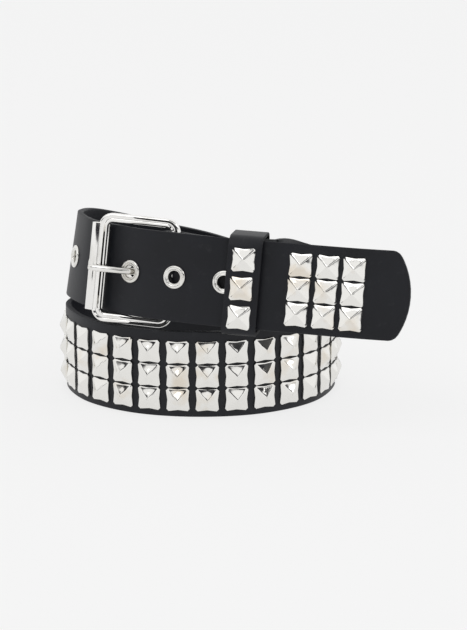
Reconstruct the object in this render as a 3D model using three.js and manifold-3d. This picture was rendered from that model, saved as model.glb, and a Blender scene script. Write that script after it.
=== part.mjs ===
// A studded belt, buckled and wound into a coil of two turns that stands on its lower edge.
// Millimetres, +Z up. The strap runs from its free tip, through the keeper and the buckle, once round above
// the lower turn, down the rear to the ground, once round on the ground and up inside to the heel bar.
import * as THREE from 'three';
import * as BufferGeometryUtils from 'three/addons/utils/BufferGeometryUtils.js';
import Module from 'manifold-3d';

const wasm = await Module();
wasm.setup();

// Strap
const STRAP_WIDTH = 44;
const STRAP_THICKNESS = 3;
const TIP_ARC_RADIUS = 38;
const TIP_CORNER_CUT = 2.2;

// Coil
const COIL_RADIUS = 70;
const LAP_DROP = 0.1;
const SEAT_GAP = 0.3;

// Studs
const STUD_SIZE = 11.7;
const STUD_HEIGHT = 3.5;
const STUD_RIM = 0.8;
const STUD_SINK = 0.6;
const ROW_COUNT = 3;
const ROW_PITCH = 12.2;
const ROW_MARGIN = 3.2;
const COLUMN_PITCH = 14.45;
const FIELD_START = 260.9;
const FIELD_COLUMNS = 42;
const TIP_COLUMNS = 3;
const TIP_COLUMN_PITCH = 13.6;
const TIP_MARGIN = 28.5;

// Eyelets, counted from the tip
const EYELET_COUNT = 5;
const EYELET_PITCH = 25.4;
const EYELET_FROM_TIP = 93.6;
const EYELET_HOLE_RADIUS = 3.15;
const EYELET_BARREL = 0.6;
const EYELET_FLANGE_RADIUS = 5.85;
const EYELET_FLANGE_RISE = 1;
const EYELET_FLANGE_EDGE = 0.4;
const EYELET_HOLE_EDGE = 0.5;
const EYELET_LIP = 0.5;
const EYELET_LIP_INSET = 0.7;
const EYELET_ROOM = 0.5;

// Keeper
const KEEPER_WIDTH = 17;
const KEEPER_THICKNESS = 1.8;
const KEEPER_ROOM = 1.45;
const KEEPER_FACE_ROOM = 0.9;
const KEEPER_SLACK = 7.9;
const KEEPER_SHEAR = 0.24;
const KEEPER_CORNER = 1.6;
const KEEPER_FROM_TIP = 83.9;
const KEEPER_STUD_PITCH = 14.2;
const KEEPER_STUD_MARGIN = 2.7;

// Buckle
const FRAME_REACH = 38.8;
const FRAME_PLAY = 0.9;
const FRAME_BAR = 4.6;
const FRAME_DEPTH = 4.4;
const FRAME_BEVEL = 1;
const FRAME_CORNER = 7;
const FRAME_SWING_LIMIT = 45;
const FRAME_RISE = 0.6;
const SIDE_BAR = 4;
const ROLLER_RADIUS = 4.35;
const ROLLER_PLAY = 0.9;
const ROLLER_GAP = 0.85;
const PRONG_EYELET = 3;
const PRONG_RADIUS = 1.5;
const PRONG_EYE_WIDTH = 4.4;
const PRONG_EYE_WALL = 2;
const PRONG_OVERHANG = 3;
const PRONG_CREST = 0.2;
const PRONG_CREST_SHARE = 0.8;
const PRONG_TIP_DROP = 0.6;
const PRONG_SLANT = 24;
const PRONG_SLOT_PLAY = 1.5;
const FOLD_RETURN = 24;
const FOLD_CLOSE_SHARE = 0.6;

// How finely the curved shapes are divided
const STRAP_STEP = 6.6;
const LENGTH_DIVISIONS = 3000;
const TIP_ARC_STEPS = 10;
const FOLD_STEPS = 8;
const RETURN_STEPS = 6;
const ROUND_STEPS = 20;
const BORE_STEPS = 16;
const KEEPER_CORNER_STEPS = 4;
const FRAME_CORNER_STEPS = 5;
const SHANK_STEPS = 30;
const SHANK_SIDES = 8;
const SWING_TRIES = 24;

// The strap's way, from its tip: the angle round the coil from the front, clockwise from above, the distance
// from the coil's middle as a share of the coil's radius, the height of the lower edge as a share of the
// strap's width, the lean of the strap's top towards the middle in degrees, and how many studded layers it
// lies inside the turn that it shares its distance with.
const WAY = [
  { turn: -49.1, reach: 1.957, lift: 1.041, lean: 12, nest: 0 },
  { turn: -42.8, reach: 1.640, lift: 1.051, lean: 14.3, nest: 0 },
  { turn: -33.8, reach: 1.336, lift: 1.067, lean: 15.8, nest: 0 },
  { turn: -21.4, reach: 1.096, lift: 1.082, lean: 15, nest: 0 },
  { turn: -6.8, reach: 0.970, lift: 1.102, lean: 13, nest: 0 },
  { turn: 7.8, reach: 0.906, lift: 1.12, lean: 11, nest: 0 },
  { turn: 19.6, reach: 0.872, lift: 1.126, lean: 10, nest: 0 },
  { turn: 31.9, reach: 0.853, lift: 1.126, lean: 9, nest: 0 },
  { turn: 44.4, reach: 0.850, lift: 1.125, lean: 9, nest: 0 },
  { turn: 56.8, reach: 0.867, lift: 1.121, lean: 9, nest: 0 },
  { turn: 68.7, reach: 0.895, lift: 1.114, lean: 8.5, nest: 0 },
  { turn: 80.3, reach: 0.926, lift: 1.108, lean: 9, nest: 0 },
  { turn: 91.5, reach: 0.960, lift: 1.093, lean: 9, nest: 0 },
  { turn: 103, reach: 0.984, lift: 1.06, lean: 8, nest: 0 },
  { turn: 115, reach: 0.994, lift: 1.015, lean: 6.5, nest: 0 },
  { turn: 135, reach: 0.974, lift: 0.868, lean: 5, nest: 0 },
  { turn: 150, reach: 0.947, lift: 0.750, lean: 4, nest: 0 },
  { turn: 180, reach: 0.923, lift: 0.552, lean: 2, nest: 0 },
  { turn: 210, reach: 0.939, lift: 0.330, lean: 0, nest: 0 },
  { turn: 240, reach: 0.976, lift: 0.100, lean: 0, nest: 0 },
  { turn: 256, reach: 1.004, lift: 0.014, lean: 0, nest: 0 },
  { turn: 270, reach: 1.014, lift: 0, lean: 0, nest: 0 },
  { turn: 300, reach: 0.969, lift: 0, lean: 0, nest: 0 },
  { turn: 330, reach: 0.911, lift: 0, lean: 0, nest: 0 },
  { turn: 360, reach: 0.871, lift: 0, lean: 0, nest: 0 },
  { turn: 390, reach: 0.883, lift: 0, lean: 0, nest: 0 },
  { turn: 420, reach: 0.919, lift: 0, lean: 0, nest: 0 },
  { turn: 450, reach: 0.964, lift: 0, lean: 0, nest: 0 },
  { turn: 465, reach: 0.985, lift: 0, lean: 0, nest: 0.4 },
  { turn: 480, reach: 0.994, lift: 0, lean: 0, nest: 0.9 },
  { turn: 510, reach: 0.947, lift: 0, lean: 0, nest: 1.05 },
  { turn: 528, reach: 0.925, lift: 0, lean: 0, nest: 1.05 },
  { turn: 545, reach: 0.925, lift: 0.02, lean: 0, nest: 1.05 },
  { turn: 570, reach: 0.939, lift: 0.136, lean: 0, nest: 1.05 },
  { turn: 600, reach: 0.976, lift: 0.352, lean: 0, nest: 1.05 },
  { turn: 630, reach: 1.014, lift: 0.61, lean: -3, nest: 1.05 },
  { turn: 657, reach: 0.975, lift: 0.8, lean: -7, nest: 1.05 },
];

// The strap's last stretch, which closes in behind the tip's end: how far past the first eyelet as a share of
// the eyelets' pitch, the distance left between the two as a share of the strap's thickness, the rise above
// the tip's end as a share of the strap's width, and the lean as a share of the lean of the tip's end.
const LAP = [
  { past: -0.949, away: 11.033, rise: 0.070, lean: -0.45 },
  { past: -0.925, away: 8.940, rise: 0.094, lean: -0.25 },
  { past: -0.902, away: 6.877, rise: 0.099, lean: -0.05 },
  { past: -0.856, away: 4.963, rise: 0.071, lean: 0.13 },
  { past: -0.774, away: 3.100, rise: 0.053, lean: 0.263 },
  { past: -0.642, away: 1.527, rise: 0.033, lean: 0.5 },
  { past: -0.457, away: 0.487, rise: 0.0136, lean: 0.816 },
  { past: -0.228, away: 0.077, rise: 0.003, lean: 0.993 },
  { past: 0.012, away: 0.1, rise: 0, lean: 1 },
  { past: 0.406, away: 0, rise: 0, lean: 1 },
  { past: 0.839, away: 0, rise: 0, lean: 1 },
  { past: 1.252, away: 0, rise: 0, lean: 1 },
];

// Sizes that follow from the ones above
const LAP_GAP = EYELET_LIP + EYELET_ROOM + 2 * SEAT_GAP;
const NEST_STEP = STRAP_THICKNESS + STUD_HEIGHT + LAP_GAP;
const FRAME_OPENING = STRAP_WIDTH + 2 * FRAME_PLAY;
const FRAME_HEIGHT = FRAME_OPENING + 2 * FRAME_BAR;
const ROLLER_LENGTH = FRAME_OPENING - 2 * ROLLER_PLAY;

const UP = new THREE.Vector3(0, 0, 1);
const radians = THREE.MathUtils.degToRad;

/** A closed mesh as a solid for cutting and joining. */
function solidOf(geometry) {
  const bare = geometry.clone();
  bare.deleteAttribute('normal');
  bare.deleteAttribute('uv');
  const merged = BufferGeometryUtils.mergeVertices(bare, 1e-4);
  return new wasm.Manifold(new wasm.Mesh({
    numProp: 3,
    vertProperties: merged.attributes.position.array,
    triVerts: merged.index.array,
  }));
}

/** A solid as a mesh geometry. */
function geometryOf(solid) {
  const mesh = solid.getMesh();
  const geometry = new THREE.BufferGeometry();
  geometry.setAttribute('position', new THREE.BufferAttribute(mesh.vertProperties.slice(), 3));
  geometry.setIndex(new THREE.BufferAttribute(mesh.triVerts.slice(), 1));
  geometry.computeVertexNormals();
  return geometry;
}

/** A curve with its lean, through rows of points. */
function curveThrough(rows) {
  const way = new THREE.CatmullRomCurve3(rows.map((row) => row.point), false, 'centripetal');
  const leanPoints = rows.map((row) => new THREE.Vector3(row.lean, 0, 0));
  const leans = new THREE.CatmullRomCurve3(leanPoints, false, 'catmullrom', 0.5);
  way.arcLengthDivisions = LENGTH_DIVISIONS;
  return { way, leans, length: way.getLength() };
}

/** The strap's place at a distance from its tip: its lower edge, its run, its outward and its upward side. */
function placeAt(curve, distance) {
  const t = curve.way.getUtoTmapping(0, Math.min(distance, curve.length));
  const run = curve.way.getTangent(t).normalize();
  const level = new THREE.Vector3().crossVectors(UP, run).normalize();
  const rise = new THREE.Vector3().crossVectors(run, level);
  const leanDegrees = curve.leans.getPoint(t).x;
  const lean = radians(leanDegrees);
  const foot = curve.way.getPoint(t);
  foot.z = Math.max(foot.z, 0);
  return {
    foot,
    lean: leanDegrees,
    run,
    out: level.clone().multiplyScalar(Math.cos(lean)).addScaledVector(rise, Math.sin(lean)),
    up: rise.clone().multiplyScalar(Math.cos(lean)).addScaledVector(level, -Math.sin(lean)),
  };
}

/** A point of a place: along its run, outward and upward from its lower edge. */
function pointOf(place, along, outward, upward) {
  return place.foot.clone()
    .addScaledVector(place.run, along)
    .addScaledVector(place.out, outward)
    .addScaledVector(place.up, upward);
}

/** A place's run and outward side, turned about its upward side. */
function turnedBy(place, angle) {
  return {
    run: place.run.clone().multiplyScalar(Math.cos(angle)).addScaledVector(place.out, -Math.sin(angle)),
    out: place.out.clone().multiplyScalar(Math.cos(angle)).addScaledVector(place.run, Math.sin(angle)),
  };
}

/** The matrix that puts a shape's +X towards the tip, +Y on the upward side and +Z on the outward side. */
function seatOf(place, along, outward, upward) {
  const matrix = new THREE.Matrix4().makeBasis(place.run.clone().negate(), place.up, place.out);
  return matrix.setPosition(pointOf(place, along, outward, upward));
}

/** A closed band with a rectangular section through a list of places. */
function bandThrough(places, thickness, width) {
  const half = thickness / 2;
  const corners = [[half, 0], [half, width], [-half, width], [-half, 0]];
  const positions = [];
  for (const place of places) {
    for (const [outward, upward] of corners) positions.push(...pointOf(place, 0, outward, upward).toArray());
  }
  const index = [];
  for (let ring = 0; ring < places.length - 1; ring++) {
    for (let side = 0; side < 4; side++) {
      const a = ring * 4 + side;
      const b = ring * 4 + (side + 1) % 4;
      index.push(a, b, a + 4, b, b + 4, a + 4);
    }
  }
  const last = (places.length - 1) * 4;
  index.push(0, 2, 1, 0, 3, 2, last, last + 1, last + 2, last, last + 2, last + 3);
  const geometry = new THREE.BufferGeometry();
  geometry.setAttribute('position', new THREE.Float32BufferAttribute(positions, 3));
  geometry.setIndex(index);
  return geometry;
}

/** A pyramid stud with an upright rim: its base in the XY plane, its point on +Z. */
function studGeometry(sink) {
  const half = STUD_SIZE / 2;
  const square = [[-half, -half], [half, -half], [half, half], [-half, half]];
  const positions = [];
  for (const [x, y] of square) positions.push(x, y, -sink);
  for (const [x, y] of square) positions.push(x, y, STUD_RIM);
  positions.push(0, 0, STUD_HEIGHT);
  const index = [0, 2, 1, 0, 3, 2];
  for (let side = 0; side < 4; side++) {
    const next = (side + 1) % 4;
    index.push(side, next, side + 4, next, next + 4, side + 4, side + 4, next + 4, 8);
  }
  const geometry = new THREE.BufferGeometry();
  geometry.setAttribute('position', new THREE.Float32BufferAttribute(positions, 3));
  geometry.setIndex(index);
  geometry.computeVertexNormals();
  return geometry;
}

// The whole way: the rows of the first table, then the stretch that closes in behind the tip's end.
const stations = WAY.map((row) => {
  const reach = row.reach * COIL_RADIUS - row.nest * NEST_STEP;
  const turn = radians(row.turn);
  return {
    point: new THREE.Vector3(-reach * Math.sin(turn), -reach * Math.cos(turn), row.lift * STRAP_WIDTH),
    lean: row.lean,
  };
});
const outer = curveThrough(stations);
const lapRows = LAP.map((row) => {
  const place = placeAt(outer, EYELET_FROM_TIP + row.past * EYELET_PITCH);
  const inward = LAP_GAP + (1 + row.away) * STRAP_THICKNESS;
  const rise = row.rise * STRAP_WIDTH - LAP_DROP;
  return { point: pointOf(place, 0, -inward, rise), lean: row.lean * place.lean };
});
const belt = curveThrough([...stations, ...lapRows]);

// Strap: the band on its way, then the fold round the heel bar and its short return.
const barClear = Math.hypot(SIDE_BAR, FRAME_DEPTH) / 2 + SEAT_GAP;
const foldRadius = barClear + STRAP_THICKNESS / 2;
const endPlace = placeAt(belt, belt.length);
const places = [];
const stepCount = Math.round(belt.length / STRAP_STEP);
for (let step = 0; step <= stepCount; step++) {
  places.push(placeAt(belt, (belt.length * step) / stepCount));
}
const heel = pointOf(endPlace, 0, -foldRadius, 0);
for (let step = 1; step < FOLD_STEPS; step++) {
  const angle = (Math.PI * step) / FOLD_STEPS;
  const { run, out } = turnedBy(endPlace, angle);
  places.push({ foot: heel.clone().addScaledVector(out, foldRadius), run, out, up: endPlace.up });
}
for (let step = 0; step <= RETURN_STEPS; step++) {
  const share = step / RETURN_STEPS;
  const place = placeAt(belt, belt.length - share * FOLD_RETURN);
  const closing = THREE.MathUtils.smoothstep(share, 0, FOLD_CLOSE_SHARE);
  const inset = THREE.MathUtils.lerp(2 * foldRadius, STRAP_THICKNESS + LAP_GAP, closing);
  places.push({
    foot: pointOf(place, 0, -inset, 0),
    run: place.run.clone().negate(),
    out: place.out.clone().negate(),
    up: place.up,
  });
}
let strap = solidOf(bandThrough(places, STRAP_THICKNESS, STRAP_WIDTH));

/** A closed lathe shape from its profile of radius and height, its axis on +Z. */
function turned(profile, segments) {
  const points = [...profile, profile[0]].map(([radius, height]) => new THREE.Vector2(radius, height));
  return new THREE.LatheGeometry(points, segments).rotateX(Math.PI / 2);
}

// Tip: the strap's end cut to a wide arc with small corners.
const tipPlace = placeAt(belt, 0);
const half = STRAP_WIDTH / 2;
const arcHalf = half - TIP_CORNER_CUT;
const arcRise = TIP_ARC_RADIUS - Math.sqrt(TIP_ARC_RADIUS ** 2 - arcHalf ** 2);
const arcSpan = Math.asin(arcHalf / TIP_ARC_RADIUS);
const waste = new THREE.Shape();
waste.moveTo(STRAP_STEP, -half - STRAP_STEP);
waste.lineTo(STRAP_STEP, half + STRAP_STEP);
waste.lineTo(-arcRise - TIP_CORNER_CUT, half + STRAP_STEP);
waste.lineTo(-arcRise - TIP_CORNER_CUT, half);
waste.absarc(-TIP_ARC_RADIUS, 0, TIP_ARC_RADIUS, arcSpan, -arcSpan, true);
waste.lineTo(-arcRise - TIP_CORNER_CUT, -half);
waste.lineTo(-arcRise - TIP_CORNER_CUT, -half - STRAP_STEP);
const wasteBlock = new THREE.ExtrudeGeometry(waste, {
  depth: 4 * STRAP_THICKNESS,
  bevelEnabled: false,
  curveSegments: TIP_ARC_STEPS,
});
wasteBlock.translate(0, 0, -2 * STRAP_THICKNESS);
wasteBlock.applyMatrix4(seatOf(tipPlace, 0, 0, half));
strap = strap.subtract(solidOf(wasteBlock));

// Eyelet holes, and the slot in the fold that the prong's eye turns in.
const barrelRadius = EYELET_HOLE_RADIUS + EYELET_BARREL;
const eyeletDistances = [];
for (let hole = 0; hole < EYELET_COUNT; hole++) {
  eyeletDistances.push(EYELET_FROM_TIP + hole * EYELET_PITCH);
}
const drillRadius = barrelRadius + SEAT_GAP;
for (const distance of eyeletDistances) {
  const drill = new THREE.CylinderGeometry(drillRadius, drillRadius, STRAP_THICKNESS + LAP_GAP, BORE_STEPS);
  drill.rotateX(Math.PI / 2);
  drill.applyMatrix4(seatOf(placeAt(belt, distance), 0, 0, half));
  strap = strap.subtract(solidOf(drill));
}
const eyeOuter = barClear + PRONG_EYE_WALL;
const slot = new THREE.BoxGeometry(
  2 * eyeOuter + 3 * SEAT_GAP + STRAP_THICKNESS,
  PRONG_EYE_WIDTH + PRONG_SLOT_PLAY,
  2 * foldRadius + STRAP_THICKNESS + LAP_GAP,
);
slot.translate(-STRAP_THICKNESS / 2, 0, 0);
const middle = half + FRAME_RISE;
slot.applyMatrix4(seatOf(endPlace, 0, -foldRadius, middle));
strap = strap.subtract(solidOf(slot));

// Stud field: three rows on the strap's long middle stretch.
const rowHeights = [];
for (let row = 0; row < ROW_COUNT; row++) {
  rowHeights.push(ROW_MARGIN + STUD_SIZE / 2 + row * ROW_PITCH);
}
const sunkStud = studGeometry(STUD_SINK);
const field = [strap];
for (let column = 0; column < FIELD_COLUMNS; column++) {
  const place = placeAt(belt, FIELD_START + column * COLUMN_PITCH);
  for (const height of rowHeights) {
    field.push(solidOf(sunkStud.clone().applyMatrix4(seatOf(place, 0, STRAP_THICKNESS / 2, height))));
  }
}
strap = wasm.Manifold.union(field);

const leather = new THREE.MeshStandardMaterial({ color: 0x26272b, roughness: 0.55, metalness: 0 });
const metal = new THREE.MeshStandardMaterial({ color: 0xd5d3cc, roughness: 0.2, metalness: 1 });

const group = new THREE.Group();

/** Adds a named piece to the group, seated by a matrix. */
function add(name, geometry, material, seat) {
  const mesh = new THREE.Mesh(geometry, material.clone());
  mesh.name = name;
  if (seat) mesh.applyMatrix4(seat);
  group.add(mesh);
}

add('strap', geometryOf(strap), leather);

// Tip studs, seated on the strap by the free end.
const looseStud = studGeometry(0);
const seatHeight = STRAP_THICKNESS / 2 + SEAT_GAP;
for (let column = 0; column < TIP_COLUMNS; column++) {
  const place = placeAt(belt, TIP_MARGIN + column * TIP_COLUMN_PITCH);
  rowHeights.forEach((height, row) => {
    add(`tip_stud_${column + 1}_${row + 1}`, looseStud, metal, seatOf(place, 0, seatHeight, height));
  });
}

// Eyelets: a flange on the outside, a barrel through the strap and a turned lip on the inside.
const lip = EYELET_FLANGE_RADIUS - EYELET_LIP_INSET;
const lipHeight = STRAP_THICKNESS / 2 + EYELET_ROOM;
const flangeTop = seatHeight + EYELET_FLANGE_RISE;
const flangeCrest = (EYELET_FLANGE_RADIUS + EYELET_HOLE_RADIUS) / 2;
const eyelet = turned([
  [EYELET_HOLE_RADIUS, -lipHeight - EYELET_LIP],
  [lip, -lipHeight - EYELET_LIP],
  [lip, -lipHeight],
  [barrelRadius, -lipHeight],
  [barrelRadius, seatHeight],
  [EYELET_FLANGE_RADIUS, seatHeight],
  [EYELET_FLANGE_RADIUS, seatHeight + EYELET_FLANGE_EDGE],
  [flangeCrest, flangeTop],
  [EYELET_HOLE_RADIUS, seatHeight + EYELET_HOLE_EDGE],
], ROUND_STEPS);
eyeletDistances.forEach((distance, hole) => {
  add(`eyelet_${hole + 1}`, eyelet, metal, seatOf(placeAt(belt, distance), 0, 0, half));
});

// Keeper: a closed leather loop round both layers, and its studs.
const keeperPlace = placeAt(belt, KEEPER_FROM_TIP);
const roomOut = flangeTop + KEEPER_FACE_ROOM;
const roomIn = 1.5 * STRAP_THICKNESS + LAP_GAP + KEEPER_SLACK;

/** A rectangle with rounded corners, grown on all sides. */
function roundedPath(path, low, high, grow, corner) {
  const [x0, y0] = [low[0] - grow, low[1] - grow];
  const [x1, y1] = [high[0] + grow, high[1] + grow];
  const r = corner + grow;
  path.moveTo(x0 + r, y0);
  path.absarc(x1 - r, y0 + r, r, -Math.PI / 2, 0, false);
  path.absarc(x1 - r, y1 - r, r, 0, Math.PI / 2, false);
  path.absarc(x0 + r, y1 - r, r, Math.PI / 2, Math.PI, false);
  path.absarc(x0 + r, y0 + r, r, Math.PI, 1.5 * Math.PI, false);
  return path;
}
const loopLow = [-roomIn, -LAP_DROP - KEEPER_ROOM];
const loopHigh = [roomOut, STRAP_WIDTH + KEEPER_ROOM];
const loop = roundedPath(new THREE.Shape(), loopLow, loopHigh, KEEPER_THICKNESS, KEEPER_CORNER);
loop.holes.push(roundedPath(new THREE.Path(), loopLow, loopHigh, 0, KEEPER_CORNER));
const keeper = new THREE.ExtrudeGeometry(loop, {
  depth: KEEPER_WIDTH,
  bevelEnabled: false,
  curveSegments: KEEPER_CORNER_STEPS,
});
keeper.translate(0, 0, -KEEPER_WIDTH / 2);
const keeperInward = keeperPlace.out.clone().addScaledVector(keeperPlace.up, -KEEPER_SHEAR);
keeper.applyMatrix4(
  new THREE.Matrix4().makeBasis(keeperInward, keeperPlace.up, keeperPlace.run).setPosition(keeperPlace.foot),
);
add('keeper', keeper, leather);
const keeperFoot = loopLow[1] - KEEPER_THICKNESS;
for (let row = 0; row < ROW_COUNT; row++) {
  const height = keeperFoot + KEEPER_STUD_MARGIN + STUD_SIZE / 2 + row * KEEPER_STUD_PITCH;
  add(`keeper_stud_${row + 1}`, looseStud, metal,
    seatOf(keeperPlace, 0, roomOut + KEEPER_THICKNESS + SEAT_GAP, height));
}

// Buckle: its seat is at the middle of the heel bar, and the frame swings on that bar until the roller rests
// on the strap that passes under it.
const heelMiddle = heel.clone().addScaledVector(endPlace.up, middle);
const strapFace = places.map((place) => pointOf(place, 0, STRAP_THICKNESS / 2, middle));
const flangeSteps = [
  [-EYELET_FLANGE_RADIUS, seatHeight + EYELET_FLANGE_EDGE],
  [-flangeCrest, flangeTop],
  [flangeCrest, flangeTop],
  [EYELET_FLANGE_RADIUS, seatHeight + EYELET_FLANGE_EDGE],
];
const flangeEdges = eyeletDistances.flatMap((distance) => flangeSteps.map(([along, outward]) => (
  pointOf(placeAt(belt, distance), along, outward, middle)
)));

/** The gap between the roller and the strap with its eyelets, with the frame swung by an angle. */
function rollerGap(angle) {
  const axis = heelMiddle.clone().addScaledVector(turnedBy(endPlace, angle).run, FRAME_REACH);
  const strapGaps = strapFace.slice(1).map((end, index) => {
    const stretch = new THREE.Line3(strapFace[index], end);
    return stretch.closestPointToPoint(axis, true, new THREE.Vector3()).distanceTo(axis);
  });
  const eyeletGaps = flangeEdges.map((point) => point.distanceTo(axis));
  return Math.min(...strapGaps, ...eyeletGaps) - ROLLER_RADIUS;
}
let swungIn = radians(FRAME_SWING_LIMIT);
let swungOut = -swungIn;
for (let turn = 0; turn < SWING_TRIES; turn++) {
  const between = (swungIn + swungOut) / 2;
  if (rollerGap(between) < ROLLER_GAP) swungIn = between;
  else swungOut = between;
}
const buckleTurn = turnedBy(endPlace, swungOut);
const buckleSeat = new THREE.Matrix4();
buckleSeat.makeBasis(buckleTurn.run.clone().negate(), endPlace.up, buckleTurn.out).setPosition(heelMiddle);

// Frame: one metal ring, thin at the heel bar and at the bar that carries the roller.
const frameLow = [-FRAME_REACH - SIDE_BAR / 2, -FRAME_HEIGHT / 2];
const frameHigh = [SIDE_BAR / 2, FRAME_HEIGHT / 2];
const ringShape = roundedPath(new THREE.Shape(), frameLow, frameHigh, -FRAME_BEVEL, FRAME_CORNER);
const openLow = [-FRAME_REACH + SIDE_BAR / 2, -FRAME_HEIGHT / 2 + FRAME_BAR];
const openHigh = [-SIDE_BAR / 2, FRAME_HEIGHT / 2 - FRAME_BAR];
ringShape.holes.push(roundedPath(new THREE.Path(), openLow, openHigh, FRAME_BEVEL, 0));
const ring = new THREE.ExtrudeGeometry(ringShape, {
  depth: FRAME_DEPTH - 2 * FRAME_BEVEL,
  bevelThickness: FRAME_BEVEL,
  bevelSize: FRAME_BEVEL,
  bevelSegments: 1,
  curveSegments: FRAME_CORNER_STEPS,
});
ring.translate(0, 0, FRAME_BEVEL - FRAME_DEPTH / 2);
add('buckle_frame', ring, metal, buckleSeat);

// Roller: a tube that turns on the far bar.
const roller = turned([
  [barClear, -ROLLER_LENGTH / 2],
  [ROLLER_RADIUS, -ROLLER_LENGTH / 2],
  [ROLLER_RADIUS, ROLLER_LENGTH / 2],
  [barClear, ROLLER_LENGTH / 2],
], ROUND_STEPS);
roller.rotateX(-Math.PI / 2).translate(-FRAME_REACH, 0, 0);
add('buckle_roller', roller, metal, buckleSeat);

// Prong: an eye round the heel bar and a shank that runs behind the strap, out through its eyelet and over
// the roller.
const holed = placeAt(belt, eyeletDistances[PRONG_EYELET - 1]);
const toBuckle = buckleSeat.clone().invert();
const slant = radians(PRONG_SLANT);
const holeMiddle = pointOf(holed, 0, 0, half).applyMatrix4(toBuckle);
const holeWay = pointOf(holed, Math.sin(slant), Math.cos(slant), half).applyMatrix4(toBuckle).sub(holeMiddle);
const prongTop = ROLLER_RADIUS + SEAT_GAP + PRONG_RADIUS;
const holeDepth = flangeTop + PRONG_RADIUS;
const shankWay = new THREE.CatmullRomCurve3([
  new THREE.Vector3(-barClear - PRONG_EYE_WALL / 2, 0, 0),
  new THREE.Vector3(holeMiddle.x / 2, holeMiddle.y / 2, 0),
  holeMiddle.clone().addScaledVector(holeWay, -holeDepth),
  holeMiddle,
  holeMiddle.clone().addScaledVector(holeWay, holeDepth - PRONG_RADIUS),
  new THREE.Vector3(-PRONG_CREST_SHARE * FRAME_REACH, holeMiddle.y, prongTop + PRONG_CREST),
  new THREE.Vector3(-FRAME_REACH, holeMiddle.y, prongTop),
  new THREE.Vector3(-FRAME_REACH - PRONG_OVERHANG, holeMiddle.y, prongTop - PRONG_TIP_DROP),
], false, 'centripetal');
const shankRound = new THREE.Shape();
for (let side = 0; side < SHANK_SIDES; side++) {
  const angle = (2 * Math.PI * side) / SHANK_SIDES;
  shankRound[side ? 'lineTo' : 'moveTo'](PRONG_RADIUS * Math.cos(angle), PRONG_RADIUS * Math.sin(angle));
}
const shank = new THREE.ExtrudeGeometry(shankRound, {
  steps: SHANK_STEPS,
  extrudePath: shankWay,
  bevelEnabled: false,
});
const eye = turned([
  [barClear, -PRONG_EYE_WIDTH / 2],
  [eyeOuter, -PRONG_EYE_WIDTH / 2],
  [eyeOuter, PRONG_EYE_WIDTH / 2],
  [barClear, PRONG_EYE_WIDTH / 2],
], BORE_STEPS).rotateX(-Math.PI / 2);
add('buckle_prong', geometryOf(solidOf(shank).add(solidOf(eye))), metal, buckleSeat);

// The origin is under the middle of the belt's box, on the ground.
const box = new THREE.Box3().setFromObject(group);
group.position.set(-(box.min.x + box.max.x) / 2, -(box.min.y + box.max.y) / 2, -box.min.z);
export default group;
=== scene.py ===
import math
import random

import bpy
import numpy as np
from mathutils import Matrix, Vector


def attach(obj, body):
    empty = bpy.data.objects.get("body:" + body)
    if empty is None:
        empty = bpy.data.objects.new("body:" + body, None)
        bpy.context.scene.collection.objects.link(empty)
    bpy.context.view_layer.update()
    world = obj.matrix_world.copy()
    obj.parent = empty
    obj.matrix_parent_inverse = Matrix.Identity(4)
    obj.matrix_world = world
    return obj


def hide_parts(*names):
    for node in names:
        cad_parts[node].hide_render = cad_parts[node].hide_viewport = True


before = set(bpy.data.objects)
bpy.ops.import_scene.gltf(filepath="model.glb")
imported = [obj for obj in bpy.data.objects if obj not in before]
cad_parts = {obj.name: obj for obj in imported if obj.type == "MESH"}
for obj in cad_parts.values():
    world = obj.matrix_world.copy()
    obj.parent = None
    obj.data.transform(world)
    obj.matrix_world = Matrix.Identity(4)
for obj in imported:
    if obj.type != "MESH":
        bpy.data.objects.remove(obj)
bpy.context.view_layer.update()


# Strap: one long band of smooth black leather, 44 mm wide and 3 mm thick, its cut edges left grey.
# It is cut flat with a wide arc at the tip, punched for the eyelets and slotted for the prong, then
# wound through keeper and buckle, twice round the coil, and folded back round the buckle's heel bar.
mm = 0.001
strap_width = 44 * mm
strap_thickness = 3 * mm
strap_edge_round = 0.5 * mm
tip_arc_radius = 38 * mm
tip_corner_round = 2.6 * mm
coil_radius = 70 * mm
coil_middle = np.array([-16.658 * mm, 10.283 * mm, 0.0])
stud_height = 3.5 * mm
seat_gap = 0.3 * mm
eyelet_lip = 0.5 * mm
eyelet_room = 0.5 * mm
lap_drop = 0.1 * mm
lap_gap = eyelet_lip + eyelet_room + 2 * seat_gap
nest_step = strap_thickness + stud_height + lap_gap
side_bar = 4 * mm
frame_depth = 4.4 * mm
bar_clear = math.hypot(side_bar, frame_depth) / 2 + seat_gap
fold_radius = bar_clear + strap_thickness / 2
fold_return = 24 * mm
eyelet_count = 5
eyelet_pitch = 25.4 * mm
eyelet_from_tip = 93.6 * mm

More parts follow.
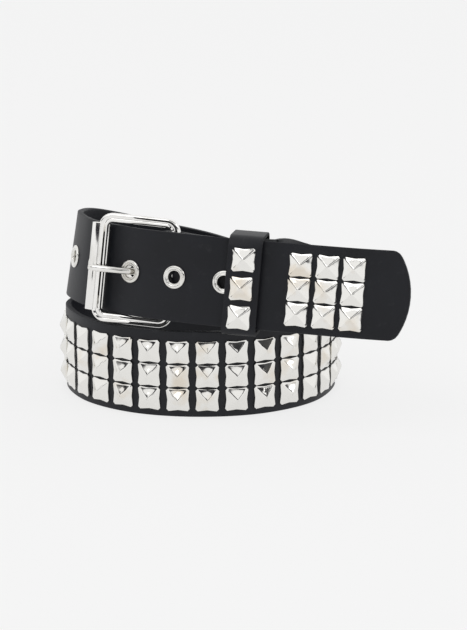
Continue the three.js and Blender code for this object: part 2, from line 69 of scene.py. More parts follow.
# Columns: angle round the coil, share of its radius, lower edge as a share of the width, lean, layers inside.
way = [
    (-49.1, 1.957, 1.041, 12, 0),
    (-42.8, 1.640, 1.051, 14.3, 0),
    (-33.8, 1.336, 1.067, 15.8, 0),
    (-21.4, 1.096, 1.082, 15, 0),
    (-6.8, 0.970, 1.102, 13, 0),
    (7.8, 0.906, 1.12, 11, 0),
    (19.6, 0.872, 1.126, 10, 0),
    (31.9, 0.853, 1.126, 9, 0),
    (44.4, 0.850, 1.125, 9, 0),
    (56.8, 0.867, 1.121, 9, 0),
    (68.7, 0.895, 1.114, 8.5, 0),
    (80.3, 0.926, 1.108, 9, 0),
    (91.5, 0.960, 1.093, 9, 0),
    (103, 0.984, 1.06, 8, 0),
    (115, 0.994, 1.015, 6.5, 0),
    (135, 0.974, 0.868, 5, 0),
    (150, 0.947, 0.750, 4, 0),
    (180, 0.923, 0.552, 2, 0),
    (210, 0.939, 0.330, 0, 0),
    (240, 0.976, 0.100, 0, 0),
    (256, 1.004, 0.014, 0, 0),
    (270, 1.014, 0, 0, 0),
    (300, 0.969, 0, 0, 0),
    (330, 0.911, 0, 0, 0),
    (360, 0.871, 0, 0, 0),
    (390, 0.883, 0, 0, 0),
    (420, 0.919, 0, 0, 0),
    (450, 0.964, 0, 0, 0),
    (465, 0.985, 0, 0, 0.4),
    (480, 0.994, 0, 0, 0.9),
    (510, 0.947, 0, 0, 1.05),
    (528, 0.925, 0, 0, 1.05),
    (545, 0.925, 0.02, 0, 1.05),
    (570, 0.939, 0.136, 0, 1.05),
    (600, 0.976, 0.352, 0, 1.05),
    (630, 1.014, 0.61, -3, 1.05),
    (657, 0.975, 0.8, -7, 1.05),
]
# Columns: pitches past the first eyelet, and shares: strap thicknesses away, widths of rise, outer lean.
lap = [
    (-0.949, 11.033, 0.070, -0.45),
    (-0.925, 8.940, 0.080, -0.25),
    (-0.902, 6.877, 0.080, -0.05),
    (-0.856, 4.963, 0.055, 0.13),
    (-0.774, 3.100, 0.042, 0.263),
    (-0.642, 1.527, 0.033, 0.5),
    (-0.457, 0.487, 0.0136, 0.816),
    (-0.228, 0.077, 0.003, 0.993),
    (0.012, 0.1, 0, 1),
    (0.406, 0, 0, 1),
    (0.839, 0, 0, 1),
    (1.252, 0, 0, 1),
]


def spline(rows, share, even):
    """The value of a spline through rows, at a share of the way from the first to the last."""
    spot = (len(rows) - 1) * share
    start = min(int(spot), len(rows) - 2)
    rest = spot - start
    b, c = rows[start], rows[start + 1]
    a = rows[start - 1] if start else 2 * b - c
    d = rows[start + 2] if start + 2 < len(rows) else 2 * c - b
    if even:
        into, out = 0.5 * (c - a), 0.5 * (d - b)
    else:
        ab, bc, cd = (np.linalg.norm(q - p) ** 0.5 for p, q in ((a, b), (b, c), (c, d)))
        into = bc * ((b - a) / ab - (c - a) / (ab + bc) + (c - b) / bc)
        out = bc * ((c - b) / bc - (d - b) / (bc + cd) + (d - c) / cd)
    return b + into * rest + (3 * (c - b) - 2 * into - out) * rest**2 + (2 * (b - c) + into + out) * rest**3


def route(points, leans):
    """A route through points, with its length measured along it."""
    shares = np.linspace(0, 1, 3001)
    line = np.array([spline(points, share, False) for share in shares])
    steps = np.linalg.norm(np.diff(line, axis=0), axis=1)
    lengths = np.concatenate([[0], np.cumsum(steps)])
    return {"points": points, "leans": leans, "shares": shares, "lengths": lengths, "length": lengths[-1]}


def place(way_of, distance):
    """The strap's lower edge at a distance from its tip, with its run, its outward and its upward side."""
    share = float(np.interp(distance, way_of["lengths"], way_of["shares"]))
    ahead = spline(way_of["points"], min(share + 1e-4, 1), False)
    behind = spline(way_of["points"], max(share - 1e-4, 0), False)
    run = (ahead - behind) / np.linalg.norm(ahead - behind)
    level = np.cross([0, 0, 1], run)
    level /= np.linalg.norm(level)
    rise = np.cross(run, level)
    lean = float(spline(way_of["leans"], share, True))
    tilt = math.radians(lean)
    foot = spline(way_of["points"], share, False).copy()
    foot[2] = max(foot[2], 0)
    outward = level * math.cos(tilt) + rise * math.sin(tilt)
    upward = rise * math.cos(tilt) - level * math.sin(tilt)
    return {"foot": foot, "lean": lean, "run": run, "out": outward, "up": upward}


def point_of(spot, along, outward, upward):
    return spot["foot"] + spot["run"] * along + spot["out"] * outward + spot["up"] * upward


way_points = []
for turn, reach, lift, lean, nest in way:
    distance = reach * coil_radius - nest * nest_step
    angle = math.radians(turn)
    flat = np.array([-distance * math.sin(angle), -distance * math.cos(angle), lift * strap_width])
    way_points.append(flat + coil_middle)
way_leans = [np.array(float(row[3])) for row in way]
outer_way = route(list(way_points), list(way_leans))
for past, away, rise, lean in lap:
    spot = place(outer_way, eyelet_from_tip + past * eyelet_pitch)
    inward = lap_gap + (1 + away) * strap_thickness
    way_points.append(point_of(spot, 0, -inward, rise * strap_width - lap_drop))
    way_leans.append(np.array(lean * spot["lean"]))
belt_way = route(way_points, way_leans)
belt_length = belt_way["length"]
end_spot = place(belt_way, belt_length)
heel_foot = point_of(end_spot, 0, -fold_radius, 0)


def strap_place(distance):
    """As place, and on round the fold at the heel bar and back along its short return."""
    if distance <= belt_length:
        return place(belt_way, distance)
    angle = (distance - belt_length) / fold_radius
    if angle < math.pi:
        out = end_spot["out"] * math.cos(angle) + end_spot["run"] * math.sin(angle)
        run = end_spot["run"] * math.cos(angle) - end_spot["out"] * math.sin(angle)
        return {"foot": heel_foot + out * fold_radius, "run": run, "out": out, "up": end_spot["up"]}
    back = distance - belt_length - math.pi * fold_radius
    spot = place(belt_way, belt_length - back)
    ease = min(back / (0.6 * fold_return), 1)
    ease = ease * ease * (3 - 2 * ease)
    inset = 2 * fold_radius + (strap_thickness + lap_gap - 2 * fold_radius) * ease
    return {"foot": point_of(spot, 0, -inset, 0), "run": -spot["run"], "out": -spot["out"], "up": spot["up"]}


def start_shape():
    """Nothing selected, ready for a new primitive."""
    if bpy.context.object and bpy.context.object.mode != "OBJECT":
        bpy.ops.object.mode_set(mode="OBJECT")
    bpy.ops.object.select_all(action="DESELECT")


def named(name):
    """The primitive that was just added, under its piece's name and with its place in its mesh."""
    piece = bpy.context.object
    piece.name = name
    piece.data.name = name
    bpy.ops.object.transform_apply(location=True, rotation=True, scale=True)
    return piece


def finish_with(piece, kind, **settings):
    """Adds a modifier to a piece and applies it."""
    bpy.ops.object.select_all(action="DESELECT")
    piece.select_set(True)
    bpy.context.view_layer.objects.active = piece
    modifier = piece.modifiers.new(kind.lower(), kind)
    for name, value in settings.items():
        setattr(modifier, name, value)
    bpy.ops.object.modifier_apply(modifier=modifier.name)


def round_edges(piece, width, segments, sharper_than):
    """Bevels the edges of a piece that turn by more than an angle, given in degrees."""
    sharp = math.radians(sharper_than)
    finish_with(piece, "BEVEL", width=width, segments=segments, limit_method="ANGLE", angle_limit=sharp)


def cut_away(piece, tool):
    """Cuts a shape out of a piece and removes the shape."""
    finish_with(piece, "BOOLEAN", operation="DIFFERENCE", object=tool, solver="EXACT")
    bpy.data.objects.remove(tool)


def smooth(piece, degrees):
    bpy.ops.object.select_all(action="DESELECT")
    piece.select_set(True)
    bpy.context.view_layer.objects.active = piece
    bpy.ops.object.shade_smooth_by_angle(angle=math.radians(degrees))


flat_length = belt_length + math.pi * fold_radius + fold_return
start_shape()
bpy.ops.mesh.primitive_grid_add(x_subdivisions=480, y_subdivisions=18, size=1)
bpy.ops.transform.resize(value=(flat_length, strap_width, 1))
bpy.ops.transform.translate(value=(flat_length / 2, strap_width / 2, 0))
strap = named("strap_leather")
half_width = strap_width / 2
for vertex in strap.data.vertices:
    off_middle = half_width * math.sin(math.pi / 2 * (vertex.co.y - half_width) / half_width)
    vertex.co.y = half_width + off_middle
    corner = max(abs(off_middle) - half_width + tip_corner_round, 0) / tip_corner_round
    inset = tip_arc_radius - math.sqrt(tip_arc_radius**2 - off_middle**2)
    inset += tip_corner_round * (1 - math.sqrt(max(1 - corner**2, 0)))
    vertex.co.x += inset * max(0.0, 1 - vertex.co.x / (40 * mm))
finish_with(strap, "SOLIDIFY", thickness=strap_thickness, offset=0)
round_edges(strap, strap_edge_round, 3, 50)

eyelet_hole = 3.15 * mm
eyelet_barrel = 0.6 * mm
punch_play = 0.15 * mm
eyelet_distances = [eyelet_from_tip + hole * eyelet_pitch for hole in range(eyelet_count)]
for distance in eyelet_distances:
    start_shape()
    bpy.ops.mesh.primitive_cylinder_add(
        vertices=32,
        radius=eyelet_hole + eyelet_barrel + punch_play,
        depth=3 * strap_thickness,
        location=(distance, half_width, 0),
    )
    cut_away(strap, named("punch"))
prong_eye_width = 4.4 * mm
prong_eye_wall = 2 * mm
slot_ends = 5.5 * mm
slot_play = 1.5 * mm
frame_rise = 0.6 * mm
start_shape()
slot_length = math.pi * fold_radius + slot_ends
bpy.ops.mesh.primitive_cube_add(size=1)
bpy.ops.transform.resize(value=(slot_length, prong_eye_width + slot_play, 3 * strap_thickness))
bpy.ops.transform.translate(value=(belt_length + math.pi * fold_radius / 2, half_width + frame_rise, 0))
cut_away(strap, named("slot_punch"))

# The cut mask and the flat pattern's UV are kept from the flat strap, so grain and edges follow the winding.
flat_cut = strap.data.attributes.new("cut_edge", "FLOAT", "POINT")
flat_uv = strap.data.uv_layers.new(name="flat")
for vertex in strap.data.vertices:
    depth = (strap_thickness / 2 - abs(vertex.co.z)) / strap_edge_round
    flat_cut.data[vertex.index].value = min(max(depth, 0.0), 1.0)
for loop in strap.data.loops:
    co = strap.data.vertices[loop.vertex_index].co
    flat_uv.data[loop.index].uv = (co.x, co.y + co.z)
wound = {}
for vertex in strap.data.vertices:
    key = round(vertex.co.x, 6)
    if key not in wound:
        wound[key] = strap_place(max(key, 0.0))
    vertex.co = Vector(point_of(wound[key], 0, vertex.co.z, vertex.co.y))
smooth(strap, 40)


def group_nodes(name, inputs, outputs):
    """A shader node group with named values in and out, and its input and output nodes."""
    group = bpy.data.node_groups.new(name, "ShaderNodeTree")
    for label, kind, value in inputs:
        socket = group.interface.new_socket(label, in_out="INPUT", socket_type=kind)
        if value is not None:
            socket.default_value = value
    for label, kind in outputs:
        group.interface.new_socket(label, in_out="OUTPUT", socket_type=kind)
    return group, group.nodes.new("NodeGroupInput"), group.nodes.new("NodeGroupOutput")


# Leather surface: soft pores and fine creases, and slow changes of tone, read from the flat pattern, which is
# in metres.
leather_surface, leather_in, leather_out = group_nodes(
    "leather_surface",
    [("Pattern", "NodeSocketVector", None), ("Pore Scale", "NodeSocketFloat", 900.0)],
    [("Height", "NodeSocketFloat"), ("Tone", "NodeSocketFloat"), ("Wear", "NodeSocketFloat")],
)
pores = leather_surface.nodes.new("ShaderNodeTexVoronoi")
pores.feature = "DISTANCE_TO_EDGE"
creases = leather_surface.nodes.new("ShaderNodeTexNoise")
creases.inputs["Scale"].default_value = 420.0
creases.inputs["Detail"].default_value = 6.0
mixed = leather_surface.nodes.new("ShaderNodeMath")
mixed.operation = "MULTIPLY_ADD"
mixed.inputs[1].default_value = 0.35
tone = leather_surface.nodes.new("ShaderNodeTexNoise")
tone.inputs["Scale"].default_value = 38.0
tone.inputs["Detail"].default_value = 4.0
rubs = leather_surface.nodes.new("ShaderNodeTexNoise")
rubs.inputs["Scale"].default_value = 160.0
rubs.inputs["Detail"].default_value = 8.0
rubs.inputs["Roughness"].default_value = 0.7
rub_range = leather_surface.nodes.new("ShaderNodeMapRange")
rub_range.inputs["From Min"].default_value = 0.56
rub_range.inputs["From Max"].default_value = 0.78
join = leather_surface.links.new
for texture in (pores, creases, tone, rubs):
    join(leather_in.outputs["Pattern"], texture.inputs["Vector"])
join(leather_in.outputs["Pore Scale"], pores.inputs["Scale"])
join(pores.outputs["Distance"], mixed.inputs[0])
join(creases.outputs["Fac"], mixed.inputs[2])
join(mixed.outputs["Value"], leather_out.inputs["Height"])
join(tone.outputs["Fac"], leather_out.inputs["Tone"])
join(rubs.outputs["Fac"], rub_range.inputs["Value"])
join(rub_range.outputs["Result"], leather_out.inputs["Wear"])


def ramp(tree, source, stops):
    """A colour ramp fed by a socket; stops are (place, colour)."""
    node = tree.nodes.new("ShaderNodeValToRGB")
    while len(node.color_ramp.elements) < len(stops):
        node.color_ramp.elements.new(0.5)
    for element, (spot, colour) in zip(node.color_ramp.elements, stops):
        element.position = spot
        element.color = (*colour, 1)
    tree.links.new(source, node.inputs["Fac"])
    return node.outputs["Color"]


def black_leather(name, pattern_uv, cut_dark, cut_light):
    """Smooth dyed leather with bare or dyed cut edges, its grain on a flat UV pattern."""
    material = bpy.data.materials.new(name)
    material.use_nodes = True
    tree = material.node_tree
    shader = tree.nodes["Principled BSDF"]
    pattern = tree.nodes.new("ShaderNodeUVMap")
    pattern.uv_map = pattern_uv
    surface = tree.nodes.new("ShaderNodeGroup")
    surface.node_tree = leather_surface
    surface.inputs["Pore Scale"].default_value = 900.0
    tree.links.new(pattern.outputs["UV"], surface.inputs["Pattern"])
    dyes = [(0.3, (0.0042, 0.0048, 0.0075)), (0.7, (0.0074, 0.0084, 0.0124))]
    dyed = ramp(tree, surface.outputs["Tone"], dyes)
    rubbed = tree.nodes.new("ShaderNodeMix")
    rubbed.data_type = "RGBA"
    rubbed.inputs["B"].default_value = (0.016, 0.0168, 0.020, 1)
    tree.links.new(surface.outputs["Wear"], rubbed.inputs["Factor"])
    tree.links.new(dyed, rubbed.inputs["A"])
    cut = tree.nodes.new("ShaderNodeAttribute")
    cut.attribute_name = "cut_edge"
    raw = ramp(tree, surface.outputs["Tone"], [(0.25, cut_dark), (0.75, cut_light)])
    coloured = tree.nodes.new("ShaderNodeMix")
    coloured.data_type = "RGBA"
    tree.links.new(cut.outputs["Fac"], coloured.inputs["Factor"])
    tree.links.new(rubbed.outputs["Result"], coloured.inputs["A"])
    tree.links.new(raw, coloured.inputs["B"])
    tree.links.new(coloured.outputs["Result"], shader.inputs["Base Color"])
    gloss = tree.nodes.new("ShaderNodeMapRange")
    gloss.inputs["To Min"].default_value = 0.40
    gloss.inputs["To Max"].default_value = 0.52
    tree.links.new(surface.outputs["Tone"], gloss.inputs["Value"])
    dull = tree.nodes.new("ShaderNodeMix")
    dull.inputs["B"].default_value = 0.8
    tree.links.new(cut.outputs["Fac"], dull.inputs["Factor"])
    tree.links.new(gloss.outputs["Result"], dull.inputs["A"])
    tree.links.new(dull.outputs["Result"], shader.inputs["Roughness"])
    shader.inputs["Specular IOR Level"].default_value = 0.31
    bump = tree.nodes.new("ShaderNodeBump")
    bump.inputs["Strength"].default_value = 0.25
    bump.inputs["Distance"].default_value = 0.00012
    tree.links.new(surface.outputs["Height"], bump.inputs["Height"])
    tree.links.new(bump.outputs["Normal"], shader.inputs["Normal"])
    return material


bare_cut_dark = (0.020, 0.0205, 0.023)
bare_cut_light = (0.060, 0.061, 0.065)
strap.data.materials.append(black_leather("strap_leather", "flat", bare_cut_dark, bare_cut_light))
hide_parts("strap")
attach(strap, "root")


# Pyramid studs: thin nickel-plated caps pressed to four shallow faces with soft ridges and drawn-in sides.
# Three rows run along the strap, three short columns sit by the tip and three studs on the keeper, each
# held from behind by its bent prongs, so no two sit quite alike.
stud_size = 11.7 * mm
stud_rim = 0.8 * mm
stud_ridge = 1.05 * mm
stud_side_draw = 0.55 * mm
stud_dish = 0.2 * mm
# Columns: share of the half size, share of the rise.
stud_rings = [(1.0, 0.0), (0.84, 0.075), (0.45, 0.55), (0.08, 0.97)]


def pick(piece, faces=None, edges=None, vertices=None):
    """Selects a piece's faces, edges or vertices by a test, ready for an edit-mode tool."""
    bpy.ops.object.select_all(action="DESELECT")
    piece.select_set(True)
    bpy.context.view_layer.objects.active = piece
    bpy.ops.object.mode_set(mode="EDIT")
    kind = "FACE" if faces else "EDGE" if edges else "VERT"
    bpy.ops.mesh.select_mode(type=kind)
    bpy.ops.mesh.select_all(action="DESELECT")
    bpy.ops.object.mode_set(mode="OBJECT")
    mesh = piece.data
    if faces:
        for face in mesh.polygons:
            face.select = bool(faces(face))
    if edges:
        for edge in mesh.edges:
            ends = [mesh.vertices[index].co for index in edge.vertices]
            edge.select = bool(edges(*ends))
    if vertices:
        for vertex in mesh.vertices:
            vertex.select = bool(vertices(vertex.co))
    bpy.ops.object.mode_set(mode="EDIT")


near = 1e-5
start_shape()
bpy.ops.mesh.primitive_cylinder_add(
    vertices=12, radius=stud_size / 2, depth=stud_rim, end_fill_type="NOTHING", location=(0, 0, stud_rim / 2),
)
stud = named("stud")
pick(stud, vertices=lambda co: co.z > stud_rim - near)
for (outer_share, low), (inner_share, high) in zip(stud_rings, stud_rings[1:]):
    bpy.ops.mesh.extrude_region_move(
        TRANSFORM_OT_translate={"value": (0, 0, (high - low) * (stud_height - stud_rim))},
    )
    bpy.ops.transform.resize(value=(inner_share / outer_share, inner_share / outer_share, 1))
bpy.ops.mesh.edge_face_add()
bpy.ops.object.mode_set(mode="OBJECT")


def square_off(piece):
    """Turns round rings of twelve points into squares with cut corners, drawn-in sides and dished faces."""
    for vertex in piece.data.vertices:
        reach = math.hypot(vertex.co.x, vertex.co.y) / (stud_size / 2)
        sixth = round(math.degrees(math.atan2(vertex.co.y, vertex.co.x)) / 30) % 12
        quarter, part = divmod(sixth, 3)
        half = reach * stud_size / 2
        ridge = stud_ridge * (0.35 + 0.65 * reach)
        draw = stud_side_draw * reach**3
        dish = stud_dish * 4 * reach * (1 - reach)
        across = [(half - draw, 0), (half, half - ridge), (half - ridge, half)][part]
        turn = Matrix.Rotation(math.radians(90 * quarter), 2)
        vertex.co.x, vertex.co.y = turn @ Vector(across)
        if part == 0:
            vertex.co.z -= dish


square_off(stud)

# Plated nickel: a warm bright mirror with faint haze, fine rubbing and slight waves left by the press.
nickel_surface, nickel_in, nickel_out = group_nodes(
    "nickel_surface",
    [("Wave Scale", "NodeSocketFloat", 90.0)],
    [("Tone", "NodeSocketFloat"), ("Haze", "NodeSocketFloat"), ("Height", "NodeSocketFloat")],
)
where = nickel_surface.nodes.new("ShaderNodeTexCoord")
tarnish = nickel_surface.nodes.new("ShaderNodeTexNoise")
tarnish.inputs["Scale"].default_value = 60.0
tarnish.inputs["Detail"].default_value = 5.0
haze = nickel_surface.nodes.new("ShaderNodeTexNoise")
haze.inputs["Scale"].default_value = 700.0
haze.inputs["Detail"].default_value = 6.0
waves = nickel_surface.nodes.new("ShaderNodeTexNoise")
waves.inputs["Detail"].default_value = 1.0
join = nickel_surface.links.new
for texture in (tarnish, haze, waves):
    join(where.outputs["Object"], texture.inputs["Vector"])
join(nickel_in.outputs["Wave Scale"], waves.inputs["Scale"])
join(tarnish.outputs["Fac"], nickel_out.inputs["Tone"])
join(haze.outputs["Fac"], nickel_out.inputs["Haze"])
join(waves.outputs["Fac"], nickel_out.inputs["Height"])


def plated_nickel(name, dark, light, smoothest, roughest, wave_scale, wave_depth):
    """Nickel plating between two tones, with its haze and its waves as rough and as deep as given."""
    material = bpy.data.materials.new(name)
    material.use_nodes = True
    tree = material.node_tree
    shader = tree.nodes["Principled BSDF"]
    shader.inputs["Metallic"].default_value = 1.0
    surface = tree.nodes.new("ShaderNodeGroup")
    surface.node_tree = nickel_surface
    surface.inputs["Wave Scale"].default_value = wave_scale
    tint = ramp(tree, surface.outputs["Tone"], [(0.32, dark), (0.47, light)])
    tree.links.new(tint, shader.inputs["Base Color"])
    gloss = tree.nodes.new("ShaderNodeMapRange")
    gloss.inputs["From Min"].default_value = 0.3
    gloss.inputs["From Max"].default_value = 0.7
    gloss.inputs["To Min"].default_value = smoothest
    gloss.inputs["To Max"].default_value = roughest
    tree.links.new(surface.outputs["Haze"], gloss.inputs["Value"])
    tree.links.new(gloss.outputs["Result"], shader.inputs["Roughness"])
    bump = tree.nodes.new("ShaderNodeBump")
    bump.inputs["Strength"].default_value = 0.5
    bump.inputs["Distance"].default_value = wave_depth
    tree.links.new(surface.outputs["Height"], bump.inputs["Height"])
    tree.links.new(bump.outputs["Normal"], shader.inputs["Normal"])
    return material


stud_nickel = plated_nickel("stud_nickel", (0.76, 0.70, 0.61), (0.83, 0.82, 0.79), 0.06, 0.12, 120.0, 0.0009)
stud.data.materials.append(stud_nickel)

cap_lift = 0.02 * mm
row_count = 3
row_pitch = 12.2 * mm
row_margin = 3.2 * mm
row_heights = [row_margin + stud_size / 2 + row * row_pitch for row in range(row_count)]
column_pitch = 14.45 * mm
field_start = 260.9 * mm
field_columns = 42
tip_columns = 3
tip_column_pitch = 13.6 * mm
tip_margin = 28.5 * mm
hand_set = random.Random(11)


def matrix_of(first, second, third, middle):
    """The matrix that puts a shape's axes along three sides and its origin at middle."""
    matrix = Matrix.Identity(4)
    for column, side in enumerate((first, second, third, middle)):
        for line in range(3):
            matrix[line][column] = side[line]
    return matrix


def seat(spot, outward, upward):
    """The matrix that puts a shape's +X towards the tip, +Y on the upward side and +Z on the outward side."""
    return matrix_of(-spot["run"], spot["up"], spot["out"], point_of(spot, 0, outward, upward))


def set_by_hand():
    """A small turn and tilt, as studs have that were pressed in by hand."""
    turn = Matrix.Rotation(math.radians(hand_set.uniform(-1.6, 1.6)), 4, "Z")
    lean_x = Matrix.Rotation(math.radians(hand_set.uniform(-1.3, 1.3)), 4, "X")
    lean_y = Matrix.Rotation(math.radians(hand_set.uniform(-1.3, 1.3)), 4, "Y")
    return turn @ lean_x @ lean_y


def copy_of(source, name, matrix):
    """A copy of a piece with a mesh of its own, put in place."""
    piece = bpy.data.objects.new(name, source.data.copy())
    bpy.context.collection.objects.link(piece)
    piece.data.name = name
    piece.data.transform(matrix)
    return piece


def keep_faces_flat(piece):
    """Smooth shading that leaves each wide face flat and rounds only its ridges."""
    smooth(piece, 60)
    finish_with(piece, "WEIGHTED_NORMAL", mode="FACE_AREA", weight=80, keep_sharp=True)


field = []
for column in range(field_columns):
    spot = place(belt_way, field_start + column * column_pitch)
    for row, height in enumerate(row_heights):
        matrix = seat(spot, strap_thickness / 2 + cap_lift, height) @ set_by_hand()
        field.append(copy_of(stud, f"field_{column}_{row}", matrix))
bpy.ops.object.select_all(action="DESELECT")
for piece in field:
    piece.select_set(True)
bpy.context.view_layer.objects.active = field[0]
bpy.ops.object.join()
field_studs = bpy.context.object
field_studs.name = "field_studs"
keep_faces_flat(field_studs)
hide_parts("strap")
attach(field_studs, "root")
for column in range(tip_columns):
    spot = place(belt_way, tip_margin + column * tip_column_pitch)
    for row, height in enumerate(row_heights):
        matrix = seat(spot, strap_thickness / 2 + cap_lift, height) @ set_by_hand()
        tip_stud = copy_of(stud, f"tip_stud_cap_{column + 1}_{row + 1}", matrix)
        keep_faces_flat(tip_stud)
        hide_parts(f"tip_stud_{column + 1}_{row + 1}")
        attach(tip_stud, "root")


# Eyelets: pressed nickel rings, a rounded flange outside rolled over into the hole, with a barrel through the
# leather that is spread to a thin lip inside.
eyelet_flange = 5.85 * mm
flange_rise = 1 * mm
seat_height = strap_thickness / 2
# Columns: radius, height above the leather's face.
profile = [
    (eyelet_hole + 0.10 * mm, -2 * seat_height - eyelet_lip),
    (eyelet_flange - 0.90 * mm, -2 * seat_height - 0.35 * mm),
    (eyelet_flange - 0.80 * mm, -2 * seat_height - 0.05 * mm),
    (eyelet_hole + eyelet_barrel, -2 * seat_height),
    (eyelet_hole + eyelet_barrel, 0),
    (eyelet_flange - 0.25 * mm, 0),
    (eyelet_flange, 0.20 * mm),
    (eyelet_flange - 0.05 * mm, 0.52 * mm),
    (eyelet_flange - 0.35 * mm, 0.82 * mm),
    (eyelet_flange - 0.80 * mm, 1.00 * mm),
    (eyelet_flange - 1.30 * mm, 0.98 * mm),
    (eyelet_flange - 1.65 * mm, 0.78 * mm),
    (eyelet_flange - 1.82 * mm, 0.66 * mm),
    (eyelet_flange - 2.02 * mm, 0.72 * mm),
    (eyelet_flange - 2.30 * mm, 0.74 * mm),
    (eyelet_flange - 2.55 * mm, 0.55 * mm),
    (eyelet_hole, 0.10 * mm),
    (eyelet_hole, -seat_height),
]
start_shape()
profile_mesh = bpy.data.meshes.new("eyelet")
profile_mesh.from_pydata(
    [(radius, 0, seat_height + height) for radius, height in profile],
    [(n, (n + 1) % len(profile)) for n in range(len(profile))],
    [],
)
eyelet = bpy.data.objects.new("eyelet", profile_mesh)
bpy.context.collection.objects.link(eyelet)


def spin_round(piece, steps):
    """Turns a profile in the XZ plane round Z into a closed ring."""
    pick(piece, vertices=lambda co: True)
    bpy.ops.mesh.spin(steps=steps, angle=2 * math.pi, center=(0, 0, 0), axis=(0, 0, 1))
    bpy.ops.mesh.select_all(action="SELECT")
    bpy.ops.mesh.remove_doubles(threshold=1e-6)
    bpy.ops.mesh.normals_make_consistent(inside=False)
    bpy.ops.object.mode_set(mode="OBJECT")


spin_round(eyelet, 40)
eyelet_nickel = plated_nickel(
    "eyelet_nickel", (0.62, 0.60, 0.56), (0.80, 0.79, 0.76), 0.12, 0.24, 200.0, 0.0004,
)
eyelet.data.materials.append(eyelet_nickel)
for hole, distance in enumerate(eyelet_distances):
    matrix = seat(place(belt_way, distance), cap_lift, half_width)
    ring = copy_of(eyelet, f"eyelet_ring_{hole + 1}", matrix)
    smooth(ring, 50)
    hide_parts(f"eyelet_{hole + 1}")
    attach(ring, "root")


# Keeper: a loop of the same leather, 17 mm wide, closed behind both layers of the strap, with three studs.
# Its four bends are soft and its cut edges are dyed as dark as its face.
keeper_width = 17 * mm
keeper_thickness = 1.8 * mm
keeper_room = 1.45 * mm
keeper_slack = 7.9 * mm
keeper_shear = 0.24
keeper_corner = 3.6 * mm
keeper_top_room = 0.45 * mm
keeper_edge_round = 0.35 * mm
keeper_from_tip = 83.9 * mm
keeper_stud_pitch = 14.2 * mm
keeper_stud_margin = 2.7 * mm
room_out = strap_thickness / 2 + seat_gap + flange_rise + 3 * seat_gap
room_in = 1.5 * strap_thickness + lap_gap + keeper_slack
loop_low = (-room_in, -lap_drop - keeper_room)
loop_high = (room_out, strap_width + keeper_top_room)
keeper_spot = place(belt_way, keeper_from_tip)
start_shape()
bpy.ops.mesh.primitive_cube_add(size=1)
grow = keeper_thickness
bpy.ops.transform.resize(
    value=(loop_high[0] - loop_low[0] + grow, loop_high[1] - loop_low[1] + grow, keeper_width)
)
bpy.ops.transform.translate(value=((loop_low[0] + loop_high[0]) / 2, (loop_low[1] + loop_high[1]) / 2, 0))
keeper = named("keeper_loop")
pick(keeper, faces=lambda face: abs(face.normal.z) > 0.9)
bpy.ops.mesh.delete(type="ONLY_FACE")
bpy.ops.object.mode_set(mode="OBJECT")
pick(keeper, edges=lambda a, b: abs(a.z - b.z) > 1 * mm)
bpy.ops.mesh.bevel(offset=keeper_corner + grow / 2, segments=8, affect="EDGES")
bpy.ops.object.mode_set(mode="OBJECT")
finish_with(keeper, "SOLIDIFY", thickness=keeper_thickness, offset=0)
round_edges(keeper, keeper_edge_round, 3, 50)
keeper_cut = keeper.data.attributes.new("cut_edge", "FLOAT", "POINT")
for vertex in keeper.data.vertices:
    depth = (abs(vertex.co.z) - keeper_width / 2 + keeper_edge_round) / keeper_edge_round
    keeper_cut.data[vertex.index].value = min(max(depth, 0.0), 1.0)
while keeper.data.uv_layers:
    keeper.data.uv_layers.remove(keeper.data.uv_layers[0])
keeper_uv = keeper.data.uv_layers.new(name="flat")
for loop in keeper.data.loops:
    co = keeper.data.vertices[loop.vertex_index].co
    keeper_uv.data[loop.index].uv = (co.z, co.y + co.x)
inward = keeper_spot["out"] - keeper_spot["up"] * keeper_shear
keeper_seat = matrix_of(inward, keeper_spot["up"], keeper_spot["run"], keeper_spot["foot"])
keeper.data.transform(keeper_seat)
smooth(keeper, 40)
dyed_cut_dark = (0.008, 0.008, 0.010)
dyed_cut_light = (0.016, 0.016, 0.019)
keeper.data.materials.append(black_leather("keeper_leather", "flat", dyed_cut_dark, dyed_cut_light))
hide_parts("keeper")
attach(keeper, "root")
for row in range(row_count):
    height = loop_low[1] - keeper_thickness + keeper_stud_margin + stud_size / 2
    height += row * keeper_stud_pitch
    matrix = seat(keeper_spot, room_out + keeper_thickness + cap_lift, height) @ set_by_hand()
    keeper_stud = copy_of(stud, f"keeper_stud_cap_{row + 1}", matrix)
    keep_faces_flat(keeper_stud)
    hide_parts(f"keeper_stud_{row + 1}")
    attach(keeper_stud, "root")
bpy.data.objects.remove(stud)
bpy.data.objects.remove(eyelet)


# Buckle frame: a cast and polished nickel ring, rounded at its four corners, with a groove between two ridges
# on its face. The strap's fold holds its heel bar, and the far bar carries the roller.
frame_height = 55 * mm
frame_reach = 38.8 * mm
frame_bar = 4.6 * mm
frame_corner = 7 * mm
frame_swing = math.radians(-12.17)
bar_shift = 1.2 * mm
reach_way = end_spot["run"] * math.cos(frame_swing) - end_spot["out"] * math.sin(frame_swing)
face_way = end_spot["out"] * math.cos(frame_swing) + end_spot["run"] * math.sin(frame_swing)
heel_middle = heel_foot + end_spot["up"] * (half_width + frame_rise)
buckle_seat = matrix_of(-reach_way, end_spot["up"], face_way, heel_middle)
frame_bevel = 0.9 * mm
start_shape()
bpy.ops.mesh.primitive_plane_add(size=1)
bpy.ops.transform.resize(value=(frame_reach - bar_shift + side_bar, frame_height, 1))
bpy.ops.transform.translate(value=(-(frame_reach - bar_shift) / 2, 0, -frame_depth / 2))
ring = named("buckle_ring")
pick(ring, vertices=lambda co: True)
bpy.ops.mesh.bevel(offset=frame_corner, segments=7, affect="VERTICES")
bpy.ops.mesh.select_all(action="SELECT")
bpy.ops.mesh.inset(thickness=frame_bar)
bpy.ops.mesh.delete(type="ONLY_FACE")
bpy.ops.mesh.select_all(action="SELECT")
